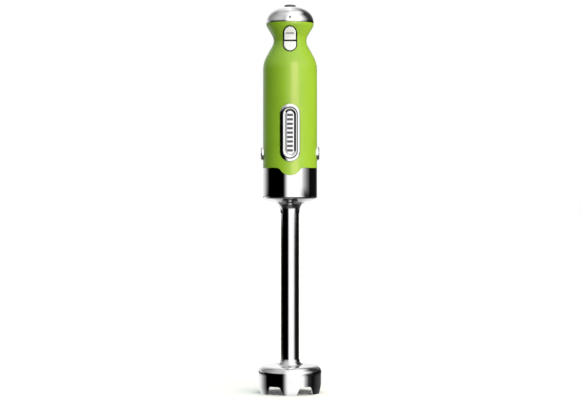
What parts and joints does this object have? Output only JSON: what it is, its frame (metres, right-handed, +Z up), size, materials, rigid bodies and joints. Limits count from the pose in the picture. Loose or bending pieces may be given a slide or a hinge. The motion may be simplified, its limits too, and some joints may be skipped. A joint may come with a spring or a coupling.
{
  "type": "immersion blender",
  "caption": "Hand-held immersion blender with a waisted green motor handle, domed speed dial, two finger switches and a lift-off metal mixing shaft with a footed blade guard.",
  "frame": {"origin": "centre of the blade guard's rim, on the surface that the feet stand on", "axes": "+Z up the axis towards the speed dial, -Y out of the front, where the switches and the badge are, +X to the right seen from the front"},
  "size_m": [0.0648, 0.0648, 0.4],
  "materials": {
    "green_shell": "glossy moulded plastic, lime green",
    "chrome_plate": "bright plated",
    "polished_steel": "polished stainless steel",
    "brushed_steel": "plain machined steel",
    "steel_laminations": "varnished steel laminations",
    "black_plastic": "matt moulded plastic, black",
    "grey_plastic": "matt moulded plastic, grey",
    "nylon": "natural nylon",
    "rubber": "black rubber",
    "seal_rubber": "red silicone rubber",
    "copper": "enamelled copper wire and copper bars",
    "bronze": "sintered bronze",
    "brass": "bare brass",
    "board": "green circuit board",
    "carbon": "pressed carbon"
  },
  "bodies": {
    "shaft": {"shaft_collar": "chrome_plate", "coupling_housing": "black_plastic", "collar_screws": "brushed_steel", "shaft_tube": "polished_steel", "blade_guard": "polished_steel", "upper_bush": "bronze", "lower_bush": "bronze", "shaft_seal": "seal_rubber", "latch_pins": "brushed_steel"},
    "spindle": {"drive_shaft": "brushed_steel", "shaft_dog": "nylon", "shaft_clip": "brushed_steel", "blade": "polished_steel", "blade_nut": "brushed_steel"},
    "latch_left": {"latch_left": "brushed_steel"},
    "latch_right": {"latch_right": "brushed_steel"},
    "handle": {"housing": "green_shell", "dial_carrier": "black_plastic", "cord_gland": "grey_plastic", "speed_track": "board", "circuit_board": "board", "board_parts": "grey_plastic", "switch_bezel": "black_plastic", "switch_carrier": "black_plastic", "micro_switches": "grey_plastic", "on_spring": "brushed_steel", "turbo_spring": "brushed_steel", "badge_frame": "chrome_plate", "badge_plate": "chrome_plate", "handle_socket": "black_plastic", "socket_cap": "black_plastic", "socket_screws": "brushed_steel", "release_spring_left": "brushed_steel", "release_spring_right": "brushed_steel", "motor_mounts": "rubber", "stator_core": "steel_laminations", "field_coils": "copper", "lower_motor_frame": "grey_plastic", "upper_motor_frame": "grey_plastic", "lower_bearing": "bronze", "upper_bearing": "bronze", "motor_bolts": "brushed_steel", "brush_holders": "brass", "carbon_brushes": "carbon"},
    "dial": {"speed_dial": "chrome_plate", "dial_wiper": "brass", "dial_mark": "black_plastic"},
    "on_button": {"on_button": "chrome_plate"},
    "turbo_button": {"turbo_button": "chrome_plate"},
    "release_left": {"release_button_left": "chrome_plate"},
    "release_right": {"release_button_right": "chrome_plate"},
    "rotor": {"armature_shaft": "brushed_steel", "armature_core": "steel_laminations", "armature_winding": "copper", "commutator": "copper", "cooling_fan": "nylon", "drive_dog": "nylon"}
  },
  "joints": [
    {"name": "handle_release", "type": "slide", "parent": "shaft", "child": "handle", "axis": [0, 0, 1], "range_m": [0, 0.06]},
    {"name": "motor_spin", "type": "hinge", "parent": "handle", "child": "rotor", "pos_m": [0, 0, 0.295], "axis": [0, 0, 1], "continuous": true},
    {"name": "blade_spin", "type": "hinge", "parent": "shaft", "child": "spindle", "pos_m": [0, 0, 0.02], "axis": [0, 0, 1], "continuous": true},
    {"name": "speed_dial_turn", "type": "hinge", "parent": "handle", "child": "dial", "pos_m": [0, 0, 0.386], "axis": [0, 0, 1], "range_deg": [-120, 120]},
    {"name": "on_press", "type": "slide", "parent": "handle", "child": "on_button", "axis": [0, 1, 0], "range_m": [0, 0.0015], "stiffness_N_per_m": 600, "springref_m": -0.002, "deforming": ["on_spring"]},
    {"name": "turbo_press", "type": "slide", "parent": "handle", "child": "turbo_button", "axis": [0, 1, 0], "range_m": [0, 0.0015], "stiffness_N_per_m": 600, "springref_m": -0.002, "deforming": ["turbo_spring"]},
    {"name": "release_left_press", "type": "slide", "parent": "handle", "child": "release_left", "axis": [1, 0, 0], "range_m": [0, 0.0022], "stiffness_N_per_m": 1200, "springref_m": -0.0015, "deforming": ["release_spring_left"]},
    {"name": "release_right_press", "type": "slide", "parent": "handle", "child": "release_right", "axis": [-1, 0, 0], "range_m": [0, 0.0022], "stiffness_N_per_m": 1200, "springref_m": -0.0015, "deforming": ["release_spring_right"]},
    {"name": "latch_left_tilt", "type": "hinge", "parent": "shaft", "child": "latch_left", "pos_m": [-0.0164, 0, 0.2365], "axis": [0, 1, 0], "range_deg": [0, 13]},
    {"name": "latch_right_tilt", "type": "hinge", "parent": "shaft", "child": "latch_right", "pos_m": [0.0164, 0, 0.2365], "axis": [0, -1, 0], "range_deg": [0, 13]}
  ],
  "couplings": [
    {"joint": "blade_spin", "follows": "motor_spin", "ratio": 1},
    {"joint": "latch_left_tilt", "follows": "release_left_press", "rad_per_m": 99.01},
    {"joint": "latch_right_tilt", "follows": "release_right_press", "rad_per_m": 99.01}
  ]
}
